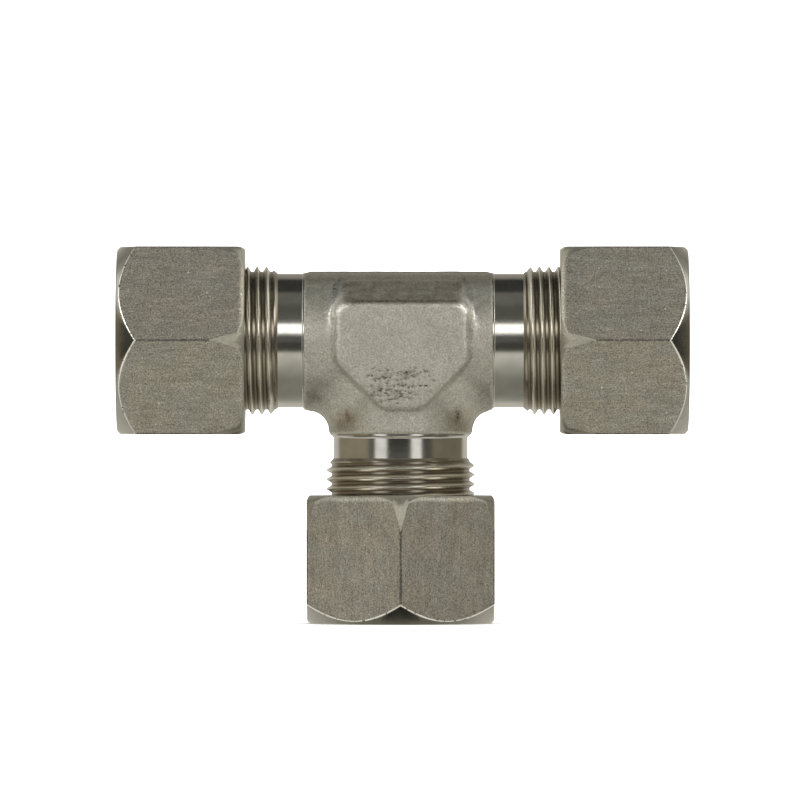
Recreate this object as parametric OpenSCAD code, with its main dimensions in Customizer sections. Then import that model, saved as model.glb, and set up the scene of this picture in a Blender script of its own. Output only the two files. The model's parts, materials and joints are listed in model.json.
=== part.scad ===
// Equal tee compression fitting for 16 mm tube: a forged body with three threaded ends,
// three hexagon nuts and three cutting rings. The run lies along X, the branch points down
// and the part stands on the end of its branch nut.

/* [Tube ports] */
// Outer diameter of the tube that each port takes
tube_d = 16; // [15:0.5:16.5]
// Play of the tube in its socket, on the diameter
tube_play = 0.2; // [0.1:0.05:0.4]
// Diameter of the flow passage
flow_d = 12; // [8:0.5:13]
// Distance from the centre of the tee to the face of a threaded end
end_reach = 33; // [32:0.25:34]
// Distance from the centre of the tee to the stop that the tube meets
stop_reach = 24.5; // [22:0.5:26]
// Full angle of the cone in the mouth of each port
cone_angle = 24; // [20:1:26]
// Diameter of the cone at the face of each threaded end
cone_mouth_d = 18.1; // [17.8:0.1:18.6]

/* [Thread] */
// Diameter over the crests of the body thread
thread_d = 23.75; // [23.6:0.05:24]
// Pitch of the right-hand thread
pitch = 1.5; // [1.5:0.5:2]
// Nominal diameter of the thread
thread_nominal_d = 24; // [24:0.5:24.5]
// Free play between body thread and nut thread, along the axis
flank_play = 0.3; // [0.2:0.05:0.4]
// Straight pieces in one turn of the helix
turn_steps = 36; // [24:4:40]
// Distance from the centre to the first thread on the run
run_thread_start = 19.6; // [19:0.1:21]
// Distance from the centre to the first thread on the branch
branch_thread_start = 18.8; // [18.5:0.1:21]
// Diameter of the turned neck behind each thread
neck_d = 21.5; // [21:0.1:21.8]

/* [Forged body] */
// Diameter of the forged run
run_d = 22.4; // [22:0.1:23]
// Diameter of the forged branch
branch_d = 22.6; // [22:0.1:23]
// Distance from the centre to the left turned shoulder
left_shoulder = 15.5; // [14:0.1:17]
// Distance from the centre to the right turned shoulder
right_shoulder = 14.8; // [14:0.1:17]
// Distance from the centre to the branch shoulder
branch_shoulder = 15.15; // [14:0.05:17]
// Distance across the two wrench pads
pad_to_pad = 24; // [23.4:0.1:25]
// Width of the pads at their foot
pad_w = 22.2; // [21:0.1:24]
// Width of a pad's flat face
pad_face_w = 20.8; // [20:0.1:22]
// Height of the top edge of a pad above the run axis
pad_top = 6; // [5:0.25:7]
// Radius of the fillet between run and branch
crotch_r = 3.2; // [2:0.1:4]

/* [Nut] */
// Width across the flats of a nut
nut_flats = 30; // [29.7:0.1:30.2]
// Length of a nut
nut_length = 20.5; // [20:0.25:21]
// Diameter of the round face at the tube end of a nut
nut_face_d = 29; // [28:0.1:29.2]
// Distance from the thread end at which a nut's corners reach their full size
nut_taper_length = 5.8; // [5:0.1:6]
// Angle between that taper and the axis
nut_taper_angle = 22.5; // [18:0.5:23]
// Distance from the centre to the tube end of a nut that is hand tight
nut_reach = 45.25; // [45:0.25:46]

/* [Cutting ring] */
// Length of a cutting ring
ring_length = 9.85; // [9.5:0.05:10]
// Diameter of the collar that the nut pushes on
collar_d = 20.6; // [20:0.1:20.8]

/* [How far each nut is undone] */
// Angle in degrees that the left nut is undone
left_undone = 30; // [0:15:360]
// Angle in degrees that the right nut is undone
right_undone = 180; // [0:15:360]
// Angle in degrees that the branch nut is undone
branch_undone = 0; // [0:15:360]

/* [Hidden] */
$fn = 96;

steel = [0.62, 0.61, 0.57];
nut_steel = [0.53, 0.52, 0.48];
ring_steel = [0.70, 0.69, 0.66];

socket_r = (tube_d + tube_play) / 2;
cone_mouth_r = cone_mouth_d / 2;
cone_slope = tan(cone_angle / 2);
cone_bottom = end_reach - (cone_mouth_r - socket_r) / cone_slope;

// Thread form: 60 degree flanks about the pitch radius, flat crests and roots
crest_r = thread_d / 2;
pitch_r = thread_nominal_d / 2 - 0.3248 * pitch;
flank_slope = tan(30);
root_r = crest_r - 0.55 * pitch;
nut_crest_r = root_r + 0.25;
nut_root_r = crest_r + 0.15;
bury = 0.18;
nut_bury = 0.12;
ridge_half = pitch / 4 - flank_play / 4;
crest_phase = 21.45;
end_chamfer = 0.7;
// Clear length between the end of a threaded stretch and the end of its ridge
ridge_inset = 0.9;
// Parts of a turn over which a ridge rises at its start and falls at its end
rise_turn = 0.3;
fall_turn = 0.4;
// Height of a ridge at its very ends, as a part of its full height
least_rise = 0.02;

// Body: one port is drawn along +Z, from the centre of the tee outwards
neck_r = neck_d / 2;
overrun = 1;

// Wrench pads: the flat face narrows to a foot, and the wall above it leans back
pad_slope_top = pad_top + 3;
pad_slope_y = 6.3;
pad_shoulder_z = pad_top - 1.5;
pad_crown_w = pad_w - 2.2;
pad_foot_z = -10.9;
pad_foot_w = 7;
pad_slant_z = pad_foot_z + (pad_w - pad_foot_w) / 2;
pad_side_draft = 1.3;

// Web between run and branch
web_half = 4;
web_bury = 0.5;

// Nut: drawn along +Z from its thread end
nut_corner_r = nut_flats / sqrt(3);
nut_cone_end = 16.25;
nut_thread_end = nut_cone_end - (nut_root_r - socket_r);
nut_lip = 0.45;
nut_lip_in = 0.36;
nut_chamfer_slope = 1.12;
nut_mouth_r = nut_root_r + 0.45;
nut_bore_chamfer = 0.3;
nut_clear_r = nut_corner_r + 0.1;
nut_seat = nut_reach - nut_length;

// Radius of the nut's thread-end taper at a height
function nut_taper_r(z) = nut_corner_r - (nut_taper_length - z) * tan(nut_taper_angle);

// Cutting ring: drawn along +Z from its cutting end
ring_bore_r = tube_d / 2 + 0.05;
ring_nose_r = 8.42;
ring_seat = 30.4;
ring_taper_length = 4.2;
ring_waist_r = ring_nose_r + ring_taper_length * cone_slope;
collar_r = collar_d / 2;
collar_start = 6.5;
collar_rise = 0.5;
collar_chamfer = 1.6;
ring_edge = 0.2;
// Groove between the two cutting edges, in the bore
groove_depth = 0.25;
groove_start = 0.9;
groove_end = 2.6;
groove_lead = 0.2;

// How far a nut moves out for an angle
function travel(angle) = pitch * angle / 360;

// One ring of a ridge's cross-section at an angle, as four points
function ridge_ring(angle, z, r_foot, r_top, half_foot, half_top) = [
    [r_foot * cos(angle), r_foot * sin(angle), z - half_foot],
    [r_top * cos(angle), r_top * sin(angle), z - half_top],
    [r_top * cos(angle), r_top * sin(angle), z + half_top],
    [r_foot * cos(angle), r_foot * sin(angle), z + half_foot]
];

// How much of the full ridge stands at a step, so that both ends fade out
function ridge_share(i, steps) =
    max(least_rise, min(1, i / (rise_turn * turn_steps), (steps - i) / (fall_turn * turn_steps)));

// Half the width of a ridge at a radius
function half_at(r, sign) = ridge_half - sign * (r - pitch_r) * flank_slope;

// A helical ridge from z_low to z_high whose middle passes angle 0 at z_phase.
// sign is 1 for a ridge that stands outwards and -1 for one that stands inwards.
module helix_ridge(z_low, z_high, z_phase, r_foot, r_top, sign) {
    start = ceil((z_low - z_phase) / pitch * turn_steps);
    steps = floor((z_high - z_phase) / pitch * turn_steps) - start;
    points = [
        for (i = [0 : steps])
            let (
                turn = (start + i) / turn_steps,
                top = r_foot + (r_top - r_foot) * ridge_share(i, steps)
            )
            each ridge_ring(360 * turn, z_phase + pitch * turn, r_foot, top,
                half_at(r_foot, sign), half_at(top, sign))
    ];
    sides = [
        for (i = [0 : steps - 1], k = [0 : 3])
            let (a = 4 * i + k, b = 4 * i + (k + 1) % 4)
            each [[a, b, b + 4], [a, b + 4, a + 4]]
    ];
    last = 4 * steps;
    caps = [[3, 2, 1], [3, 1, 0], [last, last + 1, last + 2], [last, last + 2, last + 3]];
    faces = concat(sides, caps);
    polyhedron(points, sign > 0 ? faces : [for (f = faces) [f[2], f[1], f[0]]]);
}

// Outside of one port: shoulder, neck and the core of the thread
module port_outside(thread_start) {
    rotate_extrude()
        polygon([
            [0, 0],
            [neck_r, 0],
            [neck_r, thread_start],
            [root_r, thread_start + (root_r - neck_r)],
            [root_r, end_reach - end_chamfer],
            [root_r - end_chamfer, end_reach],
            [0, end_reach]
        ]);
}

// Inside of one port: flow passage, tube socket and 24 degree cone
module port_inside() {
    rotate_extrude()
        polygon([
            [0, 0],
            [flow_d / 2, 0],
            [flow_d / 2, stop_reach],
            [socket_r, stop_reach],
            [socket_r, cone_bottom],
            [cone_mouth_r, end_reach],
            [cone_mouth_r, end_reach + overrun],
            [0, end_reach + overrun]
        ]);
}

module port_thread(thread_start) {
    helix_ridge(thread_start + ridge_inset, end_reach - ridge_inset, crest_phase, root_r - bury, crest_r, 1);
}

// Places a port on the left, on the right or below the centre of the tee
module at_left() {
    translate([0, 0, nut_reach])
        rotate([0, -90, 0])
            children();
}

module at_right() {
    translate([0, 0, nut_reach])
        rotate([0, 90, 0])
            children();
}

module at_branch() {
    translate([0, 0, nut_reach])
        rotate([180, 0, 0])
            children();
}

// The two pads that a wrench holds, with their sloped upper walls and drafted sides
module wrench_pads() {
    pad_y = pad_to_pad / 2;
    intersection() {
        rotate([90, 0, 0])
            linear_extrude(height = pad_to_pad, center = true)
                polygon([
                    [-pad_w / 2, pad_shoulder_z],
                    [-pad_crown_w / 2, pad_slope_top],
                    [pad_crown_w / 2, pad_slope_top],
                    [pad_w / 2, pad_shoulder_z],
                    [pad_w / 2, pad_slant_z],
                    [pad_foot_w / 2, pad_foot_z],
                    [-pad_foot_w / 2, pad_foot_z],
                    [-pad_w / 2, pad_slant_z]
                ]);
        rotate([90, 0, 90])
            linear_extrude(height = pad_w + overrun, center = true)
                polygon([
                    [-pad_y, pad_foot_z],
                    [-pad_y, pad_top],
                    [-pad_slope_y, pad_slope_top],
                    [pad_slope_y, pad_slope_top],
                    [pad_y, pad_top],
                    [pad_y, pad_foot_z]
                ]);
        translate([0, 0, pad_foot_z])
            linear_extrude(height = pad_slope_top - pad_foot_z)
                polygon([
                    [-pad_face_w / 2, -pad_y],
                    [pad_face_w / 2, -pad_y],
                    [pad_w / 2, pad_side_draft - pad_y],
                    [pad_w / 2, pad_y - pad_side_draft],
                    [pad_face_w / 2, pad_y],
                    [-pad_face_w / 2, pad_y],
                    [-pad_w / 2, pad_y - pad_side_draft],
                    [-pad_w / 2, pad_side_draft - pad_y]
                ]);
    }
}

// Web with a hollow fillet on each side, where the branch leaves the run
module crotch_web() {
    top = web_bury - run_d / 2;
    low = -run_d / 2 - crotch_r;
    wide = branch_d / 2 + crotch_r;
    rotate([90, 0, 0])
        linear_extrude(height = 2 * web_half, center = true)
            difference() {
                translate([-wide, low])
                    square([2 * wide, top - low]);
                for (side = [-1, 1])
                    translate([side * wide, low])
                        circle(r = crotch_r);
            }
}

module forging() {
    translate([-left_shoulder, 0, 0])
        rotate([0, 90, 0])
            cylinder(d = run_d, h = left_shoulder + right_shoulder);
    translate([0, 0, -branch_shoulder])
        cylinder(d = branch_d, h = branch_shoulder);
    wrench_pads();
    crotch_web();
}

module tee_body() {
    color(steel) {
        difference() {
            union() {
                translate([0, 0, nut_reach])
                    forging();
                at_left()
                    port_outside(run_thread_start);
                at_right()
                    port_outside(run_thread_start);
                at_branch()
                    port_outside(branch_thread_start);
            }
            at_left()
                port_inside();
            at_right()
                port_inside();
            at_branch()
                port_inside();
        }
        at_left()
            port_thread(run_thread_start);
        at_right()
            port_thread(run_thread_start);
        at_branch()
            port_thread(branch_thread_start);
    }
}

// Hexagon with a long taper at the thread end and a short steep cone at the tube end
module nut_outside() {
    face_r = nut_face_d / 2;
    intersection() {
        rotate([0, 0, 30])
            cylinder(r = nut_corner_r, h = nut_length, $fn = 6);
        rotate_extrude()
            polygon([
                [0, 0],
                [nut_taper_r(0) - nut_lip_in, 0],
                [nut_taper_r(nut_lip), nut_lip],
                [nut_clear_r, nut_taper_length + (nut_clear_r - nut_corner_r) / tan(nut_taper_angle)],
                [nut_clear_r, nut_length - (nut_clear_r - face_r) * nut_chamfer_slope],
                [face_r, nut_length],
                [0, nut_length]
            ]);
    }
}

module nut_inside() {
    rotate_extrude()
        polygon([
            [0, -overrun],
            [nut_mouth_r, -overrun],
            [nut_mouth_r, 0],
            [nut_root_r, nut_mouth_r - nut_root_r],
            [nut_root_r, nut_thread_end],
            [socket_r, nut_cone_end],
            [socket_r, nut_length - nut_bore_chamfer],
            [socket_r + nut_bore_chamfer, nut_length],
            [socket_r + nut_bore_chamfer, nut_length + overrun],
            [0, nut_length + overrun]
        ]);
}

// A nut that is undone by a number of turns; its thread stays in mesh with the body
module nut(undone) {
    seat = nut_seat + travel(undone);
    groove = crest_phase + pitch / 2 - seat;
    color(nut_steel)
        translate([0, 0, seat]) {
            difference() {
                nut_outside();
                nut_inside();
            }
            helix_ridge(ridge_inset, nut_thread_end - ridge_inset, groove,
                nut_root_r + nut_bury, nut_crest_r, -1);
        }
}

// Cutting ring: tapered nose with two cutting edges, and a collar at the back
module cutting_ring(undone) {
    color(ring_steel)
        translate([0, 0, ring_seat + travel(undone)])
            rotate_extrude()
                polygon([
                    [ring_bore_r, 0],
                    [ring_nose_r, 0],
                    [ring_waist_r, ring_taper_length],
                    [ring_waist_r, collar_start - collar_rise],
                    [collar_r, collar_start],
                    [collar_r, ring_length - collar_chamfer],
                    [collar_r - collar_chamfer, ring_length],
                    [ring_bore_r + ring_edge, ring_length],
                    [ring_bore_r, ring_length - ring_edge],
                    [ring_bore_r, groove_end],
                    [ring_bore_r + groove_depth, groove_end - groove_lead],
                    [ring_bore_r + groove_depth, groove_start + groove_lead],
                    [ring_bore_r, groove_start]
                ]);
}

module nut_left() { at_left() nut(left_undone); }
module nut_right() { at_right() nut(right_undone); }
module nut_branch() { at_branch() nut(branch_undone); }
module ring_left() { at_left() cutting_ring(left_undone); }
module ring_right() { at_right() cutting_ring(right_undone); }
module ring_branch() { at_branch() cutting_ring(branch_undone); }

tee_body();
nut_left();
nut_right();
nut_branch();
ring_left();
ring_right();
ring_branch();
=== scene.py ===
"""An equal tee compression fitting for 16 mm tube: forged steel body, three nuts, three cutting rings.

Shapes are worked out in millimetres, in the axes of one port or of the tee's centre, and are
then placed in the row frame in metres. A port's own axes have +Z outwards, as in the CAD model.
"""
import json
import math

import bmesh
import bpy
import numpy as np
import openvdb
from mathutils import Matrix, Vector


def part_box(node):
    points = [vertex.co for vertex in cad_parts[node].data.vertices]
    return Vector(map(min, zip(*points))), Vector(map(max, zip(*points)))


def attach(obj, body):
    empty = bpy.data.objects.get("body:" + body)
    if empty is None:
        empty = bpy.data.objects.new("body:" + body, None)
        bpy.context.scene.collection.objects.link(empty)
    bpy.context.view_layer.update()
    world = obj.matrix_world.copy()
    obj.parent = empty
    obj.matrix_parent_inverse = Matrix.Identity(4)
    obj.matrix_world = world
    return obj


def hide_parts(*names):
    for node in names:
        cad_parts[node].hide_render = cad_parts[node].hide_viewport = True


TAU = 2 * math.pi
TO_METRES = 0.001

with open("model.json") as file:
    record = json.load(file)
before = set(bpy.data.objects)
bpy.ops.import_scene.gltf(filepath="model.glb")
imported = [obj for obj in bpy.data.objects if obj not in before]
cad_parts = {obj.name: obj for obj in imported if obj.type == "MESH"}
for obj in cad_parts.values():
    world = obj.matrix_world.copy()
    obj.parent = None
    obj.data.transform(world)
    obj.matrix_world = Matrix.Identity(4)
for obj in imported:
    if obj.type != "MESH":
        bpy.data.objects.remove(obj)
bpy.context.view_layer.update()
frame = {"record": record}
scene = bpy.context.scene


def size_mm(node, axis):
    """A CAD node's extent along an axis, in millimetres."""
    low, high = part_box(node)
    return (high[axis] - low[axis]) / TO_METRES


def middle(node):
    """The centre of a CAD node's box, in metres."""
    low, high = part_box(node)
    return (low + high) / 2


# ---------------------------------------------------------------- sizes, in millimetres
MOUNTS = {mount["name"]: mount for mount in frame["record"]["mounts"]}
SOCKET_R = MOUNTS["tube_socket_right"]["dims"]["r_mm"]
SOCKET_LENGTH = MOUNTS["tube_socket_right"]["dims"]["length_mm"]
CENTRE = Vector((0, 0, middle("nut_left").z))
END_REACH = size_mm("tee_body", 0) / 2
NUT_LENGTH = size_mm("nut_left", 0)
NUT_FLAT_R = size_mm("nut_left", 2) / 2
NUT_CORNER_R = NUT_FLAT_R / math.cos(math.pi / 6)
PAD_Y = size_mm("tee_body", 1) / 2
RING_LENGTH = size_mm("ring_left", 0)
RING_COLLAR_R = size_mm("ring_left", 2) / 2

# The threads: CREST_PHASE is where the body's thread has a crest, along each port's axis
PITCH = 1.5
CREST_R, ROOT_R, CREST_HALF = 11.86, 11.05, 0.09
NUT_ROOT_R, NUT_CREST_R, NUT_CREST_HALF = 12.02, 11.3, 0.16
CREST_PHASE = 21.45
# The body's bores and necks, and where its threads and shoulders start from the tee's centre
NECK_R = 10.72
FLOW_R = 6.0
CONE_MOUTH_R = 9.05
CONE_SLOPE = math.tan(math.radians(12))
THREAD_START = {"left": 19.6, "right": 19.6, "branch": 18.8}
SHOULDER = {"left": 15.5, "right": 14.8, "branch": 15.15}
NECK_STEP = {"left": 0.12, "right": 0.12, "branch": 0.3}
# The nuts: the face at the tube end, the thread's mouth, and where the inner cone meets the tube's hole
NUT_FACE_R = 14.5
NUT_MOUTH_R = NUT_ROOT_R + 0.45
NUT_CONE_END = 16.25
PORTS = {
    "left": Matrix.Rotation(math.radians(-90), 4, "Y"),
    "right": Matrix.Rotation(math.radians(90), 4, "Y"),
    "branch": Matrix.Rotation(math.radians(180), 4, "X"),
}
AXIS_OF = {"left": 0, "right": 0, "branch": 2}


def seat_of(kind, port):
    """How far from the tee's centre a port's nut or ring begins, in millimetres."""
    axis = AXIS_OF[port]
    return min(abs(corner[axis] - CENTRE[axis]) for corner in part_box(f"{kind}_{port}")) / TO_METRES


# ---------------------------------------------------------------- mesh helpers
def placed(points_mm, turn=Matrix.Identity(4)):
    """Points in a port's axes, in millimetres, as an array in the row frame, in metres."""
    matrix = np.array(Matrix.Translation(CENTRE) @ turn @ Matrix.Scale(TO_METRES, 4))
    return points_mm @ matrix[:3, :3].T + matrix[:3, 3]


def joined(points, faces, tags):
    """Joins points that touch, and drops the faces that this flattens."""
    keys = np.round(points * 1e7).astype(np.int64)
    _, first, index = np.unique(keys, axis=0, return_index=True, return_inverse=True)
    index = index.reshape(-1)
    kept, kept_tags = [], []
    for face, tag in zip(index[faces].tolist(), tags):
        corners = [a for a, b in zip(face, face[-1:] + face[:-1]) if a != b]
        if len(corners) >= 3 and len(set(corners)) == len(corners):
            kept.append(corners)
            kept_tags.append(tag)
    return points[first], kept, kept_tags


def new_piece(name, points, faces, materials, tags=None, sharp=30):
    """A mesh object in the row frame, smooth except at edges sharper than an angle."""
    mesh = bpy.data.meshes.new(name)
    mesh.from_pydata(points.tolist(), [], faces)
    for material in materials:
        mesh.materials.append(material)
    if tags is not None:
        mesh.polygons.foreach_set("material_index", np.array(tags, np.int32))
    mesh.polygons.foreach_set("use_smooth", np.ones(len(mesh.polygons), bool))
    mesh.update()
    mesh.set_sharp_from_angle(angle=math.radians(sharp))
    piece = bpy.data.objects.new(name, mesh)
    scene.collection.objects.link(piece)
    return piece


def settle(piece, body, node):
    """Says what a piece moves with, and hides the CAD node it stands for."""
    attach(piece, body)
    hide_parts(node)
    return piece


def rounded(profile, cuts, steps=3):
    """Rounds the corners of profiles (columns, points, r and z) by each point's cut length.

    A face's tag is the number of the point before it, or half a step less on a rounded corner.
    """
    rows, tags = [], []
    for k in range(profile.shape[1]):
        here = profile[:, k]
        if cuts[k] == 0:
            rows.append(here)
            tags.append(k)
            continue
        before = profile[:, k - 1] - here
        after = profile[:, (k + 1) % profile.shape[1]] - here
        run_in = np.linalg.norm(before, axis=1, keepdims=True)
        run_out = np.linalg.norm(after, axis=1, keepdims=True)
        cut = np.minimum(cuts[k], 0.45 * np.minimum(run_in, run_out))
        start = here + before / np.maximum(run_in, 1e-9) * cut
        end = here + after / np.maximum(run_out, 1e-9) * cut
        for i in range(steps + 1):
            t = i / steps
            rows.append((1 - t) ** 2 * start + 2 * t * (1 - t) * here + t * t * end)
            tags.append(k if i == steps else k - 0.5)
    return np.stack(rows, axis=1), tags


def thread_rows(angles, z_low, z_high, crest_z, limit, inner=False):
    """Rows of a helical thread between two ends, clipped by a limiting radius.

    Returns the rows (columns, rows, r and z) and how many rows one turn shifts. An outer
    thread's rows go up, an inner thread's go down.
    """
    flank = math.tan(math.radians(30))
    top, bottom = (NUT_CREST_R, NUT_ROOT_R) if inner else (CREST_R, ROOT_R)
    half = NUT_CREST_HALF if inner else CREST_HALF
    depth = abs(top - bottom)
    foot = half + depth * flank
    steps = [0, half * 0.6, half * 1.25, half + 0.45 * depth * flank, foot - 0.05, foot + 0.04]
    steps = steps + [PITCH / 2] + [PITCH - s for s in reversed(steps[1:])]
    turns = int((z_high - z_low) / PITCH) + 4
    start = crest_z + PITCH * (math.floor((z_low - crest_z) / PITCH) - 2)
    offsets = np.array([PITCH * turn + step for turn in range(turns + 1) for step in steps])
    sunk = np.abs((offsets + PITCH / 2) % PITCH - PITCH / 2)
    sunk = np.clip((sunk - half) / flank, 0, depth)
    z = start + offsets[None, :] + PITCH * angles[:, None] / TAU
    z = np.clip(z, z_low, z_high)
    if inner:
        r = np.maximum(top + sunk[None, :], limit(z))
        rows = np.stack([r, z], axis=2)[:, ::-1]
        return rows, -len(steps)
    r = np.minimum(top - sunk[None, :], limit(z))
    return np.stack([r, z], axis=2), len(steps)


def turned_mesh(angles, parts):
    """Points, faces and tags of a closed turned solid.

    parts is a list of (rows, tags, shift): rows in order round the section, a tag for each
    row's face, and how many rows the part shifts over one turn.
    """
    rows = np.concatenate([part[0] for part in parts], axis=1)
    tags = [tag for part in parts for tag in part[1]]
    seam, base = [], 0
    for part_rows, _, shift in parts:
        count = part_rows.shape[1]
        seam += [base + min(max(k + shift, 0), count - 1) for k in range(count)]
        base += count
    columns, count = rows.shape[:2]
    points = np.stack([
        rows[:, :, 0] * np.cos(angles)[:, None],
        rows[:, :, 0] * np.sin(angles)[:, None],
        rows[:, :, 1],
    ], axis=2).reshape(-1, 3)
    here = np.arange(columns * count).reshape(columns, count)
    there = np.concatenate([here[1:], here[:1, seam]], axis=0)
    here_up, there_up = np.roll(here, -1, axis=1), np.roll(there, -1, axis=1)
    faces = np.stack([here, there, there_up, here_up], axis=2).reshape(-1, 4)
    return joined(points, faces, tags * columns)


def fixed_rows(angles, corners, cuts, tag):
    """Rows of a plain turned stretch: the same corners at every angle, rounded."""
    profile = np.tile(np.array(corners, float)[None], (len(angles), 1, 1))
    rows, _ = rounded(profile, cuts)
    return rows, [tag] * rows.shape[1], 0


# ---------------------------------------------------------------- the machined ends of the body
TURNED, THREAD, BORE = 0, 1, 2


def body_end(port, materials):
    """Neck, thread, end face, cone, tube socket and passage of one port."""
    angles = np.arange(160) / 160 * TAU
    start, shoulder = THREAD_START[port], SHOULDER[port]
    inside = shoulder - 0.5
    end_r, run_in_slope = 10.6, 0.9
    step = NECK_STEP[port]
    neck = fixed_rows(angles, [
        (FLOW_R, inside), (NECK_R + step, inside), (NECK_R + step, shoulder + 0.05),
        (NECK_R, shoulder + 0.05 + step), (NECK_R, start - 0.2),
    ], [0, 0, 0, 0.3, 0], TURNED)

    def limit(z):
        return np.minimum(NECK_R + (z - start) * run_in_slope, end_r + END_REACH - z)

    helix, shift = thread_rows(angles, start, END_REACH, CREST_PHASE, limit)
    stop = END_REACH - (CONE_MOUTH_R - SOCKET_R) / CONE_SLOPE
    mouth = fixed_rows(angles, [
        (end_r, END_REACH), (CONE_MOUTH_R, END_REACH), (SOCKET_R, stop), (SOCKET_R, stop - SOCKET_LENGTH),
        (FLOW_R, stop - SOCKET_LENGTH), (FLOW_R, inside + 0.1),
    ], [0, 0.15, 0.2, 0, 0.15, 0], BORE)
    parts = [neck, (helix, [THREAD] * helix.shape[1], shift), mouth]
    points, faces, tags = turned_mesh(angles, parts)
    piece = new_piece(f"tee_{port}_end", placed(points, PORTS[port]), faces, materials, tags)
    return settle(piece, "tee", "tee_body")


# ---------------------------------------------------------------- the nuts
def hexagon_columns():
    """Angles round a hexagon and the radius at each, with small round corners."""
    corner_r, flat_steps, corner_steps, beside = 0.28, 18, 6, 0.005
    middle_r = (NUT_FLAT_R - corner_r) / math.cos(math.pi / 6)
    edge = math.atan2((NUT_FLAT_R - corner_r) * math.tan(math.pi / 6), NUT_FLAT_R)
    flat = np.concatenate([[-edge], np.linspace(beside - edge, edge - beside, flat_steps)])
    corner = np.linspace(edge, math.pi / 3 - edge, corner_steps, endpoint=False)
    angles, radii = [], []
    for side in range(6):
        for angle in flat:
            angles.append(side * math.pi / 3 + angle)
            radii.append(NUT_FLAT_R / math.cos(angle))
        for angle in corner:
            away = angle - math.pi / 6
            across = middle_r * math.sin(away)
            angles.append(side * math.pi / 3 + angle)
            radii.append(middle_r * math.cos(away) + math.sqrt(corner_r ** 2 - across ** 2))
    return np.array(angles), np.array(radii)


FLAT, CHAMFER, INSIDE, EDGE, BARREL = 0, 1, 2, 3, 4

# A nut's thread end is turned to a long slim cone that ends in a round
CONE_REACH, CONE_RATE = 5.6, 0.11
ROUND_HIGH, ROUND_WIDE = 2.2, 1.95


def nut_barrel(z, top_r):
    """Radius of the turning at a nut's thread end, at a height above that end."""
    cone = top_r - CONE_RATE * np.clip(CONE_REACH - z, 0, CONE_REACH - ROUND_HIGH)
    down = np.clip(1 - z / ROUND_HIGH, 0, 1)
    return cone - ROUND_WIDE * (1 - np.sqrt(1 - down ** 2))


def barrel_height(radii, top_r):
    """Height above a nut's thread end at which its turning reaches a radius."""
    cone_low_r = top_r - CONE_RATE * (CONE_REACH - ROUND_HIGH)
    level = np.clip(1 - (cone_low_r - radii) / ROUND_WIDE, 0, 1)
    on_round = ROUND_HIGH * (1 - np.sqrt(1 - level ** 2))
    return np.where(radii > cone_low_r, CONE_REACH - (top_r - radii) / CONE_RATE, on_round)


def nut_outside(radii):
    """Outer rows of a nut, from the thread end's face to the tube end's face."""
    face_r, chamfer_slope = NUT_FACE_R, 1.12
    lip, lip_in, support = 1.1, 0.42, 0.5
    count, top_r = len(radii), radii.max()
    crease = barrel_height(radii, top_r)
    crease = np.where(crease < 0.02, 0, crease)
    rows_below = [0.03, 0.08, 0.16, 0.28, 0.42, 0.58, 0.78, 1.0]
    rows_above = [0.12, 0.28, 0.5, 0.75, 1.0]
    heights = [np.zeros(count)] + [crease * part for part in rows_below]
    heights += [crease + np.maximum(lip - crease, 0) * part for part in rows_above]
    kinds = [BARREL] * (1 + len(rows_below)) + [FLAT] * len(rows_above)
    points = []
    for z in heights:
        r = np.minimum(radii, nut_barrel(z, top_r)) - lip_in * np.maximum(1 - z / lip, 0) ** 2
        points.append(np.stack([r, z], axis=1))
    chamfer_z = NUT_LENGTH - (radii - face_r) * chamfer_slope
    # Rows close to an edge on both sides keep the broad faces flat in shading
    for z in (np.maximum(lip, crease) + 0.05, chamfer_z - support, chamfer_z):
        points.append(np.stack([radii, z], axis=1))
    low_r = radii - np.minimum(support, 0.3 * (radii - face_r))
    points.append(np.stack([low_r, NUT_LENGTH - (low_r - face_r) * chamfer_slope], axis=1))
    points.append(np.stack([np.full(count, face_r), np.full(count, NUT_LENGTH)], axis=1))
    # One profile point on each side, so that the end corners can be rounded too
    first = np.stack([np.full(count, nut_barrel(0, top_r) - 1), np.zeros(count)], axis=1)
    last = np.stack([np.full(count, face_r - 0.8), np.full(count, NUT_LENGTH)], axis=1)
    profile = np.stack([first] + points + [last], axis=1)
    cuts = [0, 0.15] + [0] * (len(kinds) + 1) + [0.34, 0, 0.3, 0]
    kinds = [CHAMFER] + kinds + [FLAT, FLAT, CHAMFER, CHAMFER, CHAMFER, CHAMFER]
    rows, tags = rounded(profile, cuts)
    edge = len(kinds) - 4
    return rows, [EDGE if tag == edge - 0.5 else kinds[math.ceil(tag)] for tag in tags], 0


def nut_inside(angles, seat):
    """Inner rows of a nut: the tube's hole and the cone, then the thread down to its mouth."""
    cone_start = NUT_CONE_END - (NUT_ROOT_R - SOCKET_R)
    thread_end = cone_start - 0.6
    tube_end = fixed_rows(angles, [
        (NUT_FACE_R - 1.2, NUT_LENGTH), (SOCKET_R + 0.7, NUT_LENGTH), (SOCKET_R + 0.35, NUT_LENGTH),
        (SOCKET_R, NUT_LENGTH - 0.35), (SOCKET_R, NUT_LENGTH - 0.7), (SOCKET_R, NUT_CONE_END),
        (NUT_ROOT_R, cone_start), (NUT_ROOT_R, thread_end),
    ], [0, 0, 0.1, 0.1, 0, 0.3, 0.2, 0], INSIDE)

    def limit(z):
        run_out = NUT_ROOT_R - (thread_end - z) * 2
        return np.minimum(NUT_MOUTH_R, np.maximum(NUT_MOUTH_R - z, np.maximum(run_out, 0)))

    crest_z = CREST_PHASE + PITCH / 2 - seat
    helix, shift = thread_rows(angles, 0, thread_end, crest_z, limit, inner=True)
    return tube_end, (helix, [INSIDE] * helix.shape[1], shift)


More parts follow.
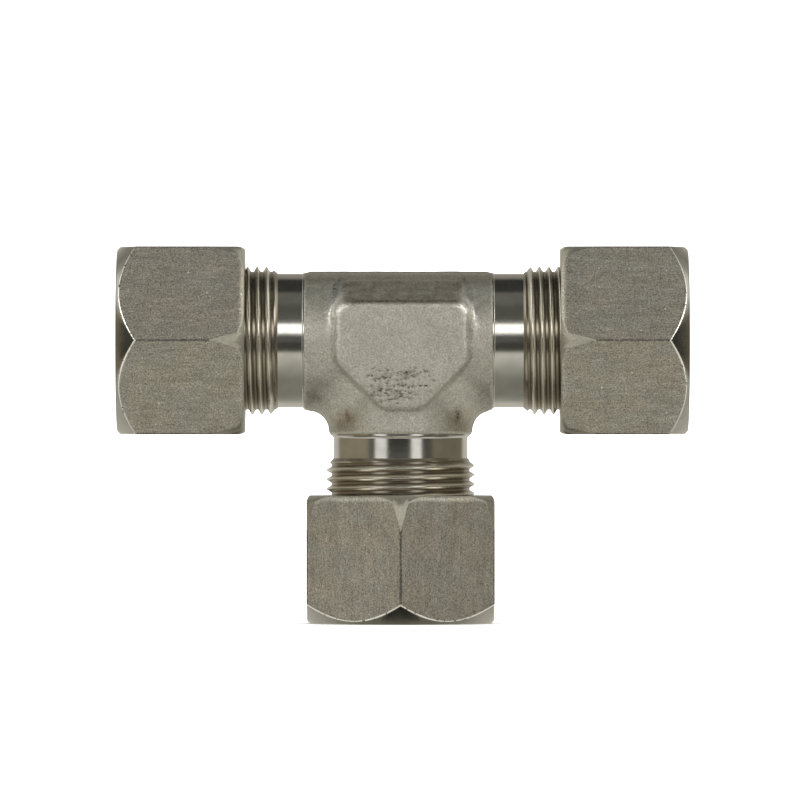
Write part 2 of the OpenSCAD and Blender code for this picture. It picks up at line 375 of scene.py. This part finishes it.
def nut_piece(port, materials):
    """One nut, undone by as much as the CAD model's nut is, with its thread in mesh."""
    angles, radii = hexagon_columns()
    seat = seat_of("nut", port)
    points, faces, tags = turned_mesh(angles, [nut_outside(radii), *nut_inside(angles, seat)])
    points[:, 2] += seat
    piece = new_piece(f"{port}_nut", placed(points, PORTS[port]), faces, materials, tags)
    return settle(piece, f"{port}_nut", f"nut_{port}")


# ---------------------------------------------------------------- the cutting rings
def ring_piece(port, materials):
    """One cutting ring: tapered nose, two cutting edges, waist and collar."""
    angles = np.arange(128) / 128 * TAU
    bore, nose, taper = 8.05, 8.42, 4.2
    waist = nose + taper * CONE_SLOPE
    chamfer, groove = 1.6, 0.25
    section = fixed_rows(angles, [
        (bore, 0), (nose, 0), (waist, taper), (waist, 6.0), (RING_COLLAR_R, 6.5),
        (RING_COLLAR_R, RING_LENGTH - chamfer), (RING_COLLAR_R - chamfer, RING_LENGTH),
        (bore + 0.2, RING_LENGTH), (bore, RING_LENGTH - 0.2), (bore, 2.6), (bore + groove, 2.4),
        (bore + groove, 1.1), (bore, 0.9),
    ], [0, 0.06, 0.5, 0.4, 0.2, 0.2, 0.2, 0.05, 0.05, 0, 0.05, 0.05, 0], 0)
    points, faces, tags = turned_mesh(angles, [section])
    points[:, 2] += seat_of("ring", port)
    piece = new_piece(f"{port}_cutting_ring", placed(points, PORTS[port]), faces, materials, tags)
    return settle(piece, f"{port}_ring", f"ring_{port}")


# ---------------------------------------------------------------- the forging
def union_round(a, b, r):
    """Two solids' distances joined with a hollow fillet of radius r."""
    u = np.maximum(r - a, 0)
    v = np.maximum(r - b, 0)
    return np.maximum(r, np.minimum(a, b)) - np.sqrt(u * u + v * v)


def common_round(a, b, r):
    """What two solids have in common, with the edge rounded by radius r."""
    u = np.maximum(r + a, 0)
    v = np.maximum(r + b, 0)
    return np.minimum(-r, np.maximum(a, b)) + np.sqrt(u * u + v * v)


# The wrench pads: their middle, then the foot, top and rounding of the wall that leans back above them
PAD_SHIFT, PAD_TOP, WALL_TOP, WALL_ROUND = 0.2, 6.0, 9.25, 2.2
RUN_R, BRANCH_R, RUN_DROP = 11.0, 11.3, 0.1


def pad_outline(x, z, deep):
    """Distance to the sides, slants and foot of a wrench pad, at a depth behind its face."""
    side_draft, slant_draft, foot_draft, crown_draft = 0.55, 0.2, 0.5, 0.244
    side_reach, slant_reach, foot_reach = 10.4, 9.75, 10.75
    side_limit, crown_reach, crown_z = 11.15, 11.1, 4.5
    across = np.abs(x - PAD_SHIFT)
    side = (across - side_reach + side_draft * deep) / math.hypot(1, side_draft)
    side = np.maximum(side, across - side_limit)
    crown = (across - crown_reach + crown_draft * (z - crown_z)) / math.hypot(1, crown_draft)
    side = np.maximum(side, crown)
    slant = ((across - z) / math.sqrt(2) - slant_reach + slant_draft * deep) / math.hypot(1, slant_draft)
    foot = (-z - foot_reach + foot_draft * deep) / math.hypot(1, foot_draft)
    return common_round(common_round(side, slant, 0.6), foot, 0.5)


def pad_wall(y, z):
    """Distance to the wall that leans back above a pad."""
    slope_run, slope_rise = 5.7, 3.0
    deep = np.abs(y) - PAD_Y
    return (slope_rise * deep + slope_run * (z - PAD_TOP)) / math.hypot(slope_run, slope_rise)


def pad_block(outline, y, z):
    """A pad's outline, closed at the top by the wall that leans back."""
    return common_round(outline, np.maximum(pad_wall(y, z), z - WALL_TOP), WALL_ROUND)


def pad_field(x, y, z):
    """Distance to the block whose front and back faces are the wrench pads."""
    deep = np.abs(y) - PAD_Y
    return common_round(pad_block(pad_outline(x, z, deep), y, z), deep, 0.5)


def waves(x, y, z, seed, shortest, longest, count=14):
    """A smooth uneven field, mostly from -1 to 1: a sum of waves of these lengths."""
    draw = np.random.default_rng(seed)
    total = 0
    for _ in range(count):
        heading = draw.normal(size=3)
        heading *= TAU / draw.uniform(shortest, longest) / np.linalg.norm(heading)
        start = draw.uniform(0, TAU)
        total = total + np.sin(x * heading[0] + y * heading[1] + z * heading[2] + start)
    return total * math.sqrt(2 / count)


def stem_field(x, y, z):
    """Distance to the forged run and branch, without the wrench pads."""
    run = np.hypot(y, z + RUN_DROP) - RUN_R
    branch = np.maximum(np.hypot(x, y) - BRANCH_R, z)
    # The fillet widens away from the middle plane, and fades where the surfaces turn parallel
    lean = np.minimum((y / RUN_R) ** 2, 1)
    fillet, widening = 3.3, 9
    stem = union_round(run, branch, np.maximum((fillet + widening * lean) * (1 - lean), 0.01))
    # What is left of the trimmed flash, between the turned shoulders
    flash_rise, flash_half, clear = 0.16, 0.7, 0.8
    ends = np.maximum(x - SHOULDER["right"], -x - SHOULDER["left"]) + clear
    flash = np.maximum(np.maximum(stem - flash_rise, np.abs(y) - flash_half), ends)
    return union_round(stem, flash, 0.25)


def forging_field(x, y, z):
    """Distance to the forged part of the body, in millimetres about the tee's centre."""
    unevenness, chamfer = 0.018, 0.5
    body = union_round(stem_field(x, y, z), pad_field(x, y, z), 0.7)
    body = body + unevenness * waves(x, y, z, 16, 2.2, 8.0)
    for gap in (x - SHOULDER["right"], -x - SHOULDER["left"]):
        body = common_round(body, gap, 0.3)
    below = -z - SHOULDER["branch"]
    body = np.maximum(np.maximum(body, below), (body + chamfer + below) * math.sqrt(0.5))
    passage = np.hypot(y, z) - FLOW_R
    passage = np.minimum(passage, np.maximum(np.hypot(x, y) - FLOW_R, z))
    return np.maximum(body, -passage)


def grid_mesh(field, low, high, step):
    """Points (millimetres) and faces of a distance field's zero surface."""
    counts = [int((b - a) / step) + 1 for a, b in zip(low, high)]
    axes = [a + step * np.arange(n, dtype=np.float32) for a, n in zip(low, counts)]
    x, y, z = np.meshgrid(*axes, indexing="ij", sparse=True)
    values = np.broadcast_to(field(x, y, z), counts).astype(np.float32)
    grid = openvdb.FloatGrid(background=3.0)
    grid.copyFromArray(np.clip(values, -3, 3))
    grid.gridClass = openvdb.GridClass.LEVEL_SET
    points, faces = grid.convertToQuads()
    points = np.array(points, float) * step + np.array(low)
    return points, np.array(faces)[:, ::-1]


def pit_depth(x, z):
    """How deep the pits low on the front pad are, in short rows, as a share of the deepest."""
    draw = np.random.default_rng(376)
    depth = np.zeros(len(x))
    pit_rows = 44
    for _ in range(pit_rows):
        near_x, near_z = draw.uniform(-4.6, 4.8), draw.uniform(-10.0, -4.4)
        lean = draw.normal(0, 0.25)
        for _ in range(draw.integers(2, 8)):
            away = draw.normal(0, 0.8)
            pit_x, pit_z = near_x + away, near_z + lean * away + draw.normal(0, 0.14)
            wide, high = draw.uniform(0.14, 0.42), draw.uniform(0.1, 0.2)
            share = draw.uniform(0.25, 1.0)
            far = ((x - pit_x) / wide) ** 2 + ((z - pit_z) / high) ** 2
            depth = np.maximum(depth, share * np.exp(-far))
    return depth


def pit_front_pad(points, faces):
    """Divides the mesh finely low on the front pad and sinks the pits into it."""
    bm = bmesh.new()
    corners = [bm.verts.new(point) for point in points]
    for face in faces:
        bm.faces.new([corners[i] for i in face])
    low, high = Vector((-7.0, -13.0, -10.6)), Vector((7.6, 0.05 - PAD_Y, -3.2))
    deepest = 0.16

    def is_near(at):
        """The divided patch is a box, cut to follow the pad's slants."""
        return all(low[i] < at[i] < high[i] for i in range(3)) and abs(at.x) < 10.0 + at.z * 0.6

    near = {vert for vert in bm.verts if is_near(vert.co)}
    fine = [edge for edge in bm.edges if edge.verts[0] in near and edge.verts[1] in near]
    bmesh.ops.subdivide_edges(bm, edges=fine, cuts=2, use_grid_fill=True)
    bm.verts.index_update()
    points = np.array([vert.co[:] for vert in bm.verts])
    faces = [[vert.index for vert in face.verts] for face in bm.faces]
    bm.free()
    x, y, z = points.T
    pits = pit_depth(x, z) * (y < 0.3 - PAD_Y)
    points[:, 1] += deepest * pits
    return points, faces, pits


def bell(value, width):
    """1 where a value is 0, fading to 0 within about twice the width on both sides."""
    return np.exp(-(value / width) ** 2)


def fade(value, run):
    """0 where a value is below 0, rising to 1 over a run."""
    return np.clip(value / run, 0, 1)


def forging_stains_and_shade(x, y, z, outline, stem, pits):
    """How dark and how brown the forging is: painted shade with dirt in the creases, painted shade on the
    pads' walls and on the top, worn spots, darker pits, and brown in places.
    """
    across, side_y = np.abs(x - PAD_SHIFT), np.abs(y)
    blotch = np.clip(waves(x, y, z, 5, 0.9, 3.5), -1, 1)
    fine = np.clip(waves(x, y, z, 8, 0.4, 1.0), -1, 1)
    # Painted shade along the creases round the pads, with some dirt in them
    crease = bell(outline - 0.1, 0.18) * stem * np.where(z > -2.5, 0.3, 0.45)
    # Painted shade on the wall that leans back above each pad, darker along its rim and at its upper corners;
    # the wall is browned too
    wall_shade = bell(pad_wall(y, z), 0.35) * fade(9.8 - across, 0.5) * (side_y > 5.5)
    rim = bell(z - PAD_TOP - 0.25 - 0.1 * fine, 0.22) * fade(9.1 - across, 0.8)
    upper = bell(z - 8.7, 0.7) * fade(across - 4.5, 9)
    wall_shade = wall_shade * np.clip(0.24 + 0.08 * blotch + 0.3 * rim + 0.3 * upper, 0, 1)
    # Two worn spots beside the branch, and a smudge low on the left
    spot = bell(x - 9.1, 0.5) * bell(z + 12.0, 1.1) + 0.7 * bell(x + 8.5, 0.35) * bell(z + 12.1, 0.8)
    spot = spot * np.clip(0.9 + 0.4 * fine, 0, 1) * (side_y > 2)
    smudge = bell(x + 13.0, 1.6) * bell(z + 8.7, 1.0) * np.clip(0.3 + blotch, 0, 1)
    # Painted shade on the top of the run, which faces up, with a brown tint
    top = fade(z - 8.6, 1.2) * (1 - np.clip(wall_shade * 3, 0, 1))
    dark = np.clip(crease + wall_shade + 0.85 * spot + 0.35 * smudge + 0.85 * pits + 0.24 * top, 0, 1)
    brown = bell(across - 8.9, 1.6) * bell(z + 12.6, 1.6) * (0.9 + 0.4 * blotch)
    brown = np.clip(brown + 1.2 * wall_shade + 0.4 * top, 0, 1)
    return dark, brown, 0.8 + 0.4 * fine + 0.2 * blotch


def forging_wear_shade_and_sheen(points, pits):
    """How dark (stains and painted shade), how brown and how polished (wear and a painted highlight) the
    forging is at each point, from 0 to 1.
    """
    x, y, z = points.T
    across = np.abs(x - PAD_SHIFT)
    deep = np.minimum(np.abs(y) - PAD_Y, 0)
    outline = pad_outline(x, z, deep)
    stem = bell(stem_field(x, y, z), 0.35) * (np.abs(y) > 4)
    dark, brown, uneven = forging_stains_and_shade(x, y, z, outline, stem, pits)
    # The pad's side walls, their upper edges and their feet are rubbed: smoother, and lighter in colour as a
    # painted highlight
    side = bell(outline, 0.3) * (deep < -0.15) * (stem < 0.6) * fade(z + 3, 2)
    edge = bell(pad_block(outline, y, z) + 0.2, 0.25) * bell(deep, 0.4) * fade(z + 3, 5)
    foot = bell(outline - 0.6, 0.42) * (deep < -1) * fade(z - 0.5, 4)
    rubbed_sheen = (0.7 * side + edge + 1.1 * foot) * (z < WALL_TOP) * np.clip(across - 8, 0, 1)
    return {"dark": dark, "brown": brown, "polish_and_sheen": np.clip(rubbed_sheen * uneven, 0, 1)}


def forging_piece(materials):
    """The blasted forging between the three machined ends."""
    low, high, step = (-17.0, -13.5, -17.0), (16.5, 13.5, 13.0), 0.27
    points, faces = grid_mesh(forging_field, low, high, step)
    points, faces, pits = pit_front_pad(points, faces.tolist())
    piece = new_piece("tee_forging", placed(points), faces, materials, sharp=50)
    for name, values in forging_wear_shade_and_sheen(points, pits).items():
        layer = piece.data.attributes.new(name, "FLOAT", "POINT")
        layer.data.foreach_set("value", values.astype(np.float32))
    return settle(piece, "tee", "tee_body")


# ---------------------------------------------------------------- materials
class Nodes:
    """Adds nodes to a tree and links them, one short call for each."""

    def __init__(self, tree):
        self.tree = tree

    def add(self, kind, settings=None, **inputs):
        """A node with its settings, and its inputs set to values or linked to outputs."""
        node = self.tree.nodes.new("ShaderNode" + kind)
        for key, value in (settings or {}).items():
            setattr(node, key, value)
        for key, value in inputs.items():
            self.put(node, key.replace("_", " "), value)
        return node

    def put(self, node, key, value):
        """Sets or links one input, named or numbered."""
        socket = node.inputs[int(key[1:])] if key[0] == "i" and key[1:].isdigit() else node.inputs[key]
        if isinstance(value, bpy.types.NodeSocket):
            self.tree.links.new(value, socket)
        else:
            socket.default_value = value

    def math(self, operation, a, b=0.0):
        return self.add("Math", {"operation": operation}, i0=a, i1=b).outputs[0]

    def place(self, scale=(1, 1, 1)):
        """Object coordinates, in metres, scaled along each axis."""
        coords = self.add("TexCoord").outputs["Object"]
        return self.add("Mapping", {"vector_type": "POINT"}, Vector=coords, Scale=scale).outputs[0]

    def grain(self, size_mm, detail=2.0, roughness=0.5, stretch=(1, 1, 1)):
        """Noise whose blotches are about size_mm across, times stretch along each axis."""
        scale = tuple(1 / (size_mm * TO_METRES * s) for s in stretch)
        noise_node = self.add("TexNoise", Vector=self.place(scale), Scale=1.0, Detail=detail,
                              Roughness=roughness)
        return noise_node.outputs["Fac"]

    def ramp(self, value, stops):
        """A smooth colour or grey ramp over (place, colour) stops."""
        node = self.add("ValToRGB", Fac=value)
        elements = node.color_ramp.elements
        while len(elements) < len(stops):
            elements.new(0.5)
        for element, (place, colour) in zip(elements, stops):
            element.position = place
            element.color = colour if len(colour) == 4 else (*colour, 1)
        return node.outputs["Color"]

    def spread(self, value, low, high, start=0.3, end=0.7):
        """A value's middle range, from start to end, stretched to low..high."""
        node = self.add("MapRange", Value=value, From_Min=start, From_Max=end, To_Min=low, To_Max=high)
        return node.outputs[0]

    def blend(self, share, a, b, kind="MIX"):
        """Two colours mixed, multiplied and so on by a share."""
        node = self.add("Mix", {"data_type": "RGBA", "blend_type": kind})
        self.put(node, "Factor", share)
        self.put(node, "i6", a)
        self.put(node, "i7", b)
        return node.outputs[2]

    def bump(self, height, depth_mm, below=None):
        """A bump of a real depth, on top of another one."""
        node = self.add("Bump", Height=height, Strength=1.0, Distance=depth_mm * TO_METRES)
        if below is not None:
            self.put(node, "Normal", below)
        return node.outputs[0]


class Metal(Nodes):
    """A metal's material."""

    def __init__(self, name):
        self.material = bpy.data.materials.new(name)
        self.material.use_nodes = True
        super().__init__(self.material.node_tree)
        self.shader = self.tree.nodes["Principled BSDF"]
        self.shader.inputs["Metallic"].default_value = 1.0

    def finish(self, colour, roughness, normal):
        self.put(self.shader, "Base Color", colour)
        self.put(self.shader, "Roughness", roughness)
        self.put(self.shader, "Normal", normal)
        return self.material


def grey(level, warm=0.0):
    """A slightly warm steel colour."""
    return (level * (1 + 0.4 * warm), level, level * (1 - 1.6 * warm), 1)


def tinted(m, colour, tone):
    """A colour multiplied by a grey tone."""
    return m.blend(1.0, colour, m.add("CombineColor", Red=tone, Green=tone, Blue=tone).outputs[0], "MULTIPLY")


def forged_material():
    """Pickled and blasted forging: matt, finely grained, with painted shade in its creases, a painted
    highlight where it is rubbed, and brown in places.
    """
    m = Metal("forged_steel")
    brown, dark, polish_and_sheen = [m.add("Attribute", {"attribute_name": name}).outputs["Fac"]
                           for name in ("brown", "dark", "polish_and_sheen")]
    speck = m.grain(0.28, detail=3, roughness=0.75)
    stain_and_painted_shading = m.math("MULTIPLY", dark, m.spread(m.grain(0.6, detail=4, roughness=0.7), 0.2, 1.8))
    colour = m.ramp(m.grain(4.5, detail=3), [(0.3, (0.565, 0.555, 0.495)), (0.7, (0.625, 0.615, 0.55))])
    colour = m.blend(m.math("MULTIPLY", brown, 0.8), colour, (0.45, 0.36, 0.27, 1))
    # A painted highlight: the rubbed places turn near white
    colour = m.blend(polish_and_sheen, colour, (1.0, 0.99, 0.95, 1))
    # Stains and painted shade darken the colour
    colour = m.blend(stain_and_painted_shading, colour, (0.1, 0.09, 0.07, 1))
    mottle = m.spread(m.grain(0.9, detail=2), 0.95, 1.05)
    tone = m.math("MULTIPLY", m.spread(speck, 0.62, 1.3), mottle)
    roughness = m.spread(m.grain(1.2, detail=3), 0.44, 0.58)
    roughness = m.math("SUBTRACT", roughness, m.math("MULTIPLY", polish_and_sheen, 0.25))
    coarse = m.bump(m.grain(0.7, detail=2), 0.03)
    return m.finish(tinted(m, colour, tone), roughness, m.bump(speck, 0.05, coarse))


def axis_distance(m, port):
    """How far out a point lies along a port's axis, and how far from the axis, in metres."""
    coords = m.add("SeparateXYZ", Vector=m.add("TexCoord").outputs["Object"])
    x, y, z = coords.outputs
    if AXIS_OF[port] == 0:
        z = m.math("SUBTRACT", z, CENTRE.z)
        along, across = x, z
    else:
        along, across = z, x
    square = m.math("ADD", m.math("MULTIPLY", y, y), m.math("MULTIPLY", across, across))
    return along, m.math("SQRT", square)


def along_bar(port, along, across=1):
    """A grain's stretch along a port's axis and across it."""
    stretch = [across] * 3
    stretch[AXIS_OF[port]] = along
    return stretch


def tool_marks(m, place, scale, detail, roughness=0.5):
    """Rings left by the tool: noise along a line of places."""
    node = m.add("TexNoise", Vector=place, Scale=scale, Detail=detail, Roughness=roughness)
    return node.outputs["Fac"]


def turned_material(port, part):
    """Bright turned steel with circular tool marks; the thread has painted shade in its grooves and a painted
    highlight on its crests.
    """
    m = Metal(f"turned_steel_{port}_{part}")
    along, radius = axis_distance(m, port)
    place = m.add("CombineXYZ", X=m.math("ADD", along, radius)).outputs[0]
    marks = tool_marks(m, place, 9000.0, 3.0, 0.6)
    broad = tool_marks(m, place, 1800.0, 1.0)
    colour = m.ramp(m.grain(3.0, detail=2), [(0.3, grey(0.56, 0.03)), (0.7, grey(0.66, 0.02))])
    if part == "thread":
        # Painted shade in the grooves and a painted highlight on the crests, set by the radius
        depth = m.spread(radius, 0.0, 1.0, ROOT_R * TO_METRES, CREST_R * TO_METRES)
        stain_and_painted_shading = m.ramp(depth, [(0.0, (0.26, 0.22, 0.16)), (0.4, (0.5, 0.46, 0.38)), (0.9, (0.9, 0.88, 0.8))])
        colour = m.blend(0.8, colour, stain_and_painted_shading)
    low, high = (0.18, 0.28) if part == "thread" else (0.12, 0.18)
    roughness = m.spread(marks, low, high)
    uneven = m.grain(0.13, detail=1, stretch=along_bar(port, 1, across=5))
    normal = m.bump(uneven, 0.004, m.bump(marks, 0.002, m.bump(broad, 0.003)))
    m.shader.inputs["Anisotropic"].default_value = 0.4
    tangent = m.add("Tangent", {"direction_type": "RADIAL", "axis": "XYZ"[AXIS_OF[port]]})
    m.put(m.shader, "Tangent", tangent.outputs[0])
    return m.finish(colour, roughness, normal)


def specks(m, spacing_mm, width_mm, share):
    """1 on small round specks that are spaced apart, and 0 elsewhere."""
    scale = 1 / (spacing_mm * TO_METRES)
    cells = m.add("TexVoronoi", Vector=m.place(), Scale=scale)
    near = m.spread(cells.outputs["Distance"], 1, 0, 0.5 * width_mm / spacing_mm, width_mm / spacing_mm)
    chance = m.add("SeparateColor", Color=cells.outputs["Color"]).outputs[0]
    return m.math("MULTIPLY", near, m.math("LESS_THAN", chance, share))


# The lights favour the branch nut's faces, so its steel is toned down to look like the other two nuts
BRANCH_TONE = 0.87


def nut_material(port):
    """Flats of drawn hexagon bar: satin, mottled, with fine lines along the bar and painted shade along the
    corners.
    """
    m = Metal(f"nut_steel_{port}")
    lines = m.grain(0.16, detail=2, roughness=0.6, stretch=along_bar(port, 14))
    streaks = m.grain(0.9, detail=3, roughness=0.6, stretch=along_bar(port, 5))
    blotch = m.grain(3.2, detail=3)
    speck = m.grain(0.22, detail=3, roughness=0.75)
    warmth = m.spread(m.grain(4.5, detail=1), 0.0, 1.0, 0.38, 0.62)
    base = m.blend(warmth, (0.52, 0.505, 0.448, 1), (0.535, 0.498, 0.43, 1))
    tone = m.math("MULTIPLY", m.spread(speck, 0.35, 1.6), m.spread(blotch, 0.93, 1.06))
    tone = m.math("MULTIPLY", tone, m.spread(lines, 0.88, 1.12))
    tone = m.math("MULTIPLY", tone, m.spread(streaks, 0.9, 1.1))
    tone = m.math("ADD", tone, m.math("MULTIPLY", specks(m, 2.6, 0.22, 0.3), 0.9))
    # Painted shade along the corners of the hexagon, in a slightly broken line
    corner_low, corner_high = [(NUT_CORNER_R - below) * TO_METRES for below in (0.13, 0.07)]
    broken = m.spread(m.grain(0.3, detail=3, roughness=0.7), -0.00006, 0.00006)
    radius = m.math("ADD", axis_distance(m, port)[1], broken)
    tone = m.math("MULTIPLY", tone, m.spread(radius, 1.0, 0.35, corner_low, corner_high))
    if port == "branch":
        tone = m.math("MULTIPLY", tone, BRANCH_TONE)
    roughness = m.spread(speck, 0.42, 0.56)
    normal = m.bump(speck, 0.015, m.bump(lines, 0.008))
    return m.finish(tinted(m, base, tone), roughness, normal)


def nut_barrel_material(port):
    """The satin turning at a nut's thread end, a little lighter than the flats."""
    m = Metal(f"nut_barrel_{port}")
    speck = m.grain(0.25, detail=3, roughness=0.7)
    colour = m.ramp(m.grain(2.0, detail=2), [(0.3, grey(0.48, 0.09)), (0.7, grey(0.54, 0.09))])
    roughness = m.spread(speck, 0.42, 0.55)
    return m.finish(tinted(m, colour, m.spread(speck, 0.75, 1.2)), roughness, m.bump(speck, 0.02))


def nut_chamfer_material(port):
    """Turned cones and faces of a nut."""
    m = Metal(f"nut_turned_{port}")
    along, radius = axis_distance(m, port)
    place = m.add("CombineXYZ", X=m.math("ADD", along, radius)).outputs[0]
    marks = tool_marks(m, place, 7000.0, 2.0, 0.6)
    colour = m.ramp(m.grain(2.0, detail=2), [(0.3, grey(0.38, 0.06)), (0.7, grey(0.44, 0.06))])
    return m.finish(colour, m.spread(marks, 0.13, 0.22), m.bump(marks, 0.003))


def nut_edge_sheen_material(port):
    """The worn, polished edge between a nut's flats and its tube-end cone, near white as a painted highlight,
    with a few dark dings.
    """
    m = Metal(f"nut_edge_{port}")
    wear_and_sheen = m.grain(0.5, detail=3)
    colour = m.ramp(wear_and_sheen, [(0.36, grey(0.08, 0.05)), (0.4, grey(0.96, 0.02))])
    return m.finish(colour, m.spread(wear_and_sheen, 0.12, 0.24), m.bump(m.grain(0.2, detail=2), 0.01))


# ---------------------------------------------------------------- camera, stage and lights
def make_camera():
    """A long lens at the height and place that show the tee square on."""
    data = bpy.data.cameras.new("camera")
    camera = bpy.data.objects.new("camera", data)
    scene.collection.objects.link(camera)
    distance, view_width = 2.0, 0.128
    data.sensor_width = 36
    data.lens = data.sensor_width * distance / view_width
    data.clip_start, data.clip_end = 0.05, 20
    camera.location = (-0.0001, -distance, CENTRE.z - 0.0095)
    camera.rotation_euler = (math.pi / 2, 0, 0)
    scene.camera = camera


def plain_material(name, colour, roughness):
    """A plain material of one colour."""
    material = bpy.data.materials.new(name)
    material.use_nodes = True
    shader = material.node_tree.nodes["Principled BSDF"]
    shader.inputs["Base Color"].default_value = (*colour, 1)
    shader.inputs["Roughness"].default_value = roughness
    return material


def make_floor():
    """A wide white floor. It isn't seen in the metal, and it follows the branch nut's travel.

    So the fitting still stands on its branch nut when that nut is undone.
    """
    reach = 8.0
    corners = np.array([(side * reach, y, 0) for y in (-reach, reach) for side in (-1, 1)])
    white = plain_material("floor", (0.92, 0.92, 0.92), 0.9)
    floor = new_piece("floor", corners, [(0, 1, 3, 2)], [white])
    floor.visible_glossy = False
    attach(floor, "branch_ring")


def make_cards():
    """A dark card beyond each nut, which only the metal sees: it darkens the cone at the front corner with a
    painted reflection of shade.
    """
    half, near, far, beyond = 13.4, 15.0, 36.0, 60.0
    dark = plain_material("dark_card", (0.02, 0.021, 0.014), 0.5)
    for port, turn in PORTS.items():
        front = 1 if port == "branch" else -1
        corners = [(side * half, front * away, END_REACH + beyond)
                   for away in (near, far) for side in (-1, 1)]
        card = new_piece(f"card_{port}", placed(np.array(corners), turn), [(0, 1, 3, 2)], [dark])
        card.visible_camera = card.visible_shadow = card.visible_diffuse = False


def soft_light(name, place, size, watts):
    """A rectangular, slightly warm soft light at a place, facing the tee."""
    data = bpy.data.lights.new(name, "AREA")
    data.shape = "RECTANGLE"
    data.size, data.size_y = size
    data.energy = watts
    data.color = (1, 0.98, 0.93)
    light = bpy.data.objects.new(name, data)
    light.location = place
    light.rotation_euler = (CENTRE - place).to_track_quat("-Z", "Y").to_euler()
    scene.collection.objects.link(light)
    light.visible_camera = False


def around(azimuth, elevation, distance):
    """A point seen from the tee at an azimuth (0 in front, + to the right) and elevation."""
    a, e = math.radians(azimuth), math.radians(elevation)
    return CENTRE + distance * Vector((math.sin(a) * math.cos(e), -math.cos(a) * math.cos(e), math.sin(e)))


def make_lights():
    """Strips left and right of the camera, one above it and one high on each side."""
    distance = 0.7
    for name, azimuth, elevation, size, watts in [
        ("strip_left", -34, 2, (0.26, 0.5), 0.39),
        ("strip_right", 27, 2, (0.22, 0.5), 0.36),
        ("front_top", 0, 20, (0.5, 0.2), 0.65),
        ("side_left", -62, 34, (0.3, 0.3), 0.42),
        ("side_right", 62, 34, (0.3, 0.3), 0.48),
    ]:
        soft_light(name, around(azimuth, elevation, distance), size, watts)
    scene.view_settings.view_transform = "Standard"


def room_walls(n, x, y, z, aside):
    """A dark wall in front with a lighter band at eye level, and warm walls at the sides."""
    band = n.spread(n.math("ABSOLUTE", z), 1, 0, 0.02, 0.07)
    front = n.blend(band, (0.035, 0.033, 0.024, 1), (0.1, 0.097, 0.084, 1))
    sides = n.blend(n.spread(x, 0, 1, -0.5, 0.5), (0.3, 0.258, 0.18, 1), (0.2, 0.175, 0.12, 1))
    sides = n.blend(n.spread(y, 1, 0, -0.62, -0.5), sides, (0.08, 0.075, 0.06, 1))
    return n.blend(n.spread(aside, 0, 1, 0.5, 0.8), front, sides)


def room_ceiling(n, y, aside):
    """Dim in front, dark behind the tee and bright far out at the sides."""
    dim = n.blend(n.spread(y, 0, 1, -0.5, -0.35), (0.08, 0.078, 0.06, 1), (0.14, 0.14, 0.118, 1))
    ceiling = n.blend(n.spread(y, 0, 1, 0.0, 0.06), dim, (0.02, 0.02, 0.015, 1))
    ceiling = n.blend(n.spread(aside, 0, 1, 0.35, 0.6), ceiling, (0.43, 0.425, 0.365, 1))
    return n.blend(n.spread(aside, 0, 1, 0.65, 0.75), ceiling, (1.2, 1.18, 1.08, 1))


def room_floor(n, y, z, aside):
    """Pale out towards the walls, darker straight below, and bright at the front corners."""
    pale, below = (0.73, 0.71, 0.62, 1), (0.27, 0.262, 0.218, 1)
    floor = n.blend(n.spread(z, 1, 0, -0.95, -0.45), pale, below)
    corners = n.math("MULTIPLY", n.spread(aside, 0, 1, 0.42, 0.52), n.spread(y, 1, 0, -0.15, 0.0))
    return n.blend(corners, floor, (0.8, 0.79, 0.72, 1))


def make_room():
    """The world: a room that the metal reflects, and plain white for everything else.

    Its parts meet where the direction's x, y and z, from -1 to 1, reach the given shares.
    """
    world = bpy.data.worlds.new("world")
    scene.world = world
    world.use_nodes = True
    n = Nodes(world.node_tree)
    x, y, z = n.add("SeparateXYZ", Vector=n.add("TexCoord").outputs["Generated"]).outputs
    aside = n.math("ABSOLUTE", x)
    room = room_walls(n, x, y, z, aside)
    room = n.blend(n.spread(z, 0, 1, 0.25, 0.45), room, room_ceiling(n, y, aside))
    room = n.blend(n.spread(z, 1, 0, -0.37, -0.31), room, room_floor(n, y, z, aside))
    back = n.blend(n.spread(z, 0, 1, 0.1, 0.45), (0.64, 0.61, 0.54, 1), (0.3, 0.285, 0.24, 1))
    room = n.blend(n.spread(y, 0, 1, 0.62, 0.75), room, back)
    plain = (2.0, 2.0, 2.0, 1)
    seen = n.blend(n.add("LightPath").outputs["Is Glossy Ray"], plain, room)
    n.put(world.node_tree.nodes["Background"], "Color", seen)


# ---------------------------------------------------------------- build
make_camera()
make_floor()
make_cards()
make_lights()
make_room()

forging_piece([forged_material()])
for port in PORTS:
    turned = turned_material(port, "plain")
    body_end(port, [turned, turned_material(port, "thread"), turned])
    nut_turned = nut_chamfer_material(port)
    nut_piece(port, [nut_material(port), nut_turned, nut_turned, nut_edge_sheen_material(port),
                     nut_barrel_material(port)])
    ring_piece(port, [turned])
